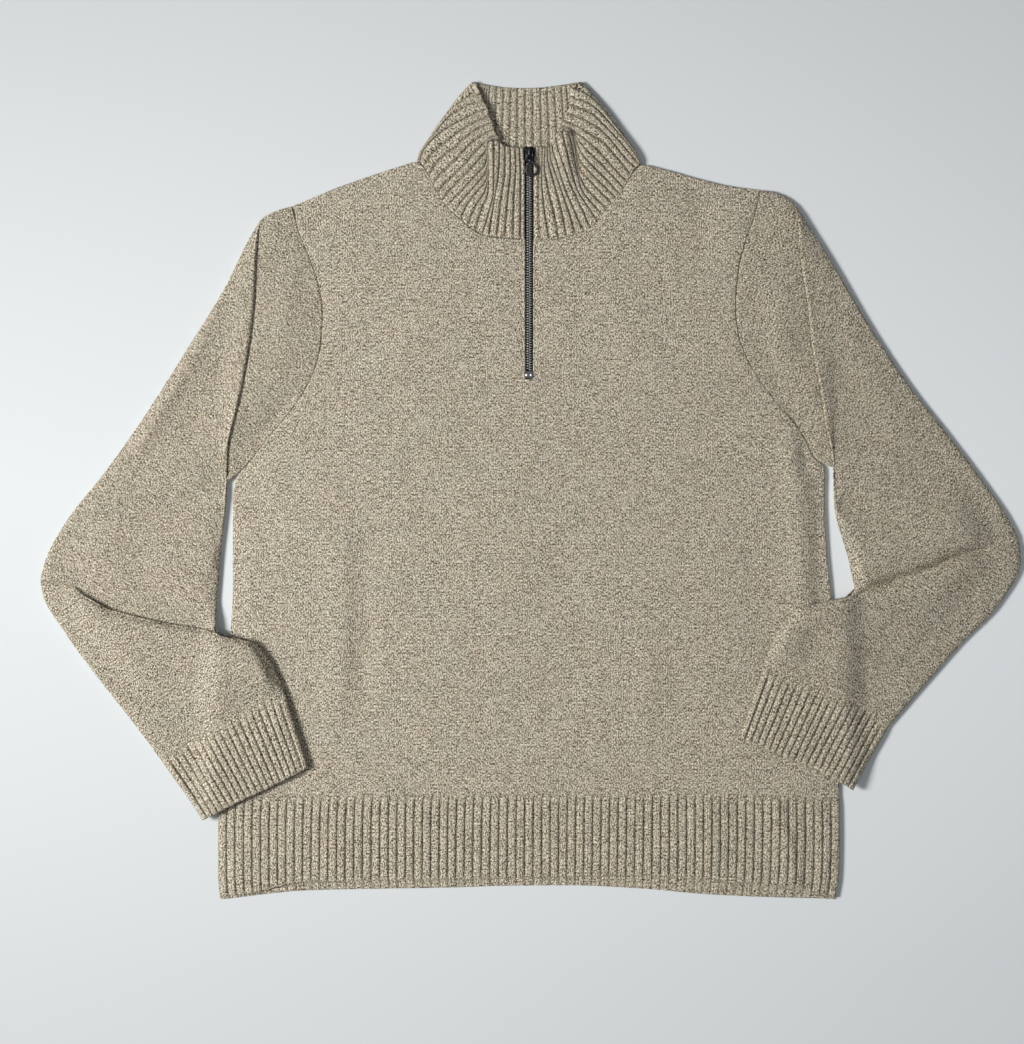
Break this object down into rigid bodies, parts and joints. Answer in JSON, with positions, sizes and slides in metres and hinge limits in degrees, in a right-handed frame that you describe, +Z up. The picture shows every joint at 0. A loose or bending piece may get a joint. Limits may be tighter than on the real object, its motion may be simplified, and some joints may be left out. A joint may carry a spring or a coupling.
{
  "type": "quarter zip sweater laid flat",
  "caption": "Knitted quarter zip sweater laid flat with its forearms folded over the body, rib collar, cuffs and hem, and a short metal zip.",
  "frame": {"origin": "centre of the bounding box's underside, on the surface that the garment lies on", "axes": "+X towards the sleeve on the viewer's right, +Y from the hem towards the collar, +Z up, out of the garment's front"},
  "size_m": [0.9228, 0.7694, 0.0176],
  "materials": {
    "knit": "marled oatmeal stockinette knit",
    "rib": "marled oatmeal rib knit",
    "tape": "dark woven zip tape",
    "gunmetal": "antiqued dark metal, satin",
    "steel": "bright worn metal"
  },
  "bodies": {
    "garment": {"body_back": "knit", "body_front": "knit", "hem_back": "rib", "hem_front": "rib", "sleeve_left": "knit", "sleeve_right": "knit", "cuff_left": "rib", "cuff_right": "rib", "collar": "rib", "zip_tape_left": "tape", "zip_tape_right": "tape", "zip_chain": "gunmetal", "zip_stop": "steel", "zip_slider": "gunmetal"},
    "pull_tab": {"zip_pull": "gunmetal"}
  },
  "joints": [
    {"name": "pull_tab_hinge", "type": "hinge", "parent": "garment", "child": "pull_tab", "pos_m": [-0.0015, 0.31797, 0.01255], "axis": [-1, 0, 0], "range_deg": [0, 170]}
  ]
}
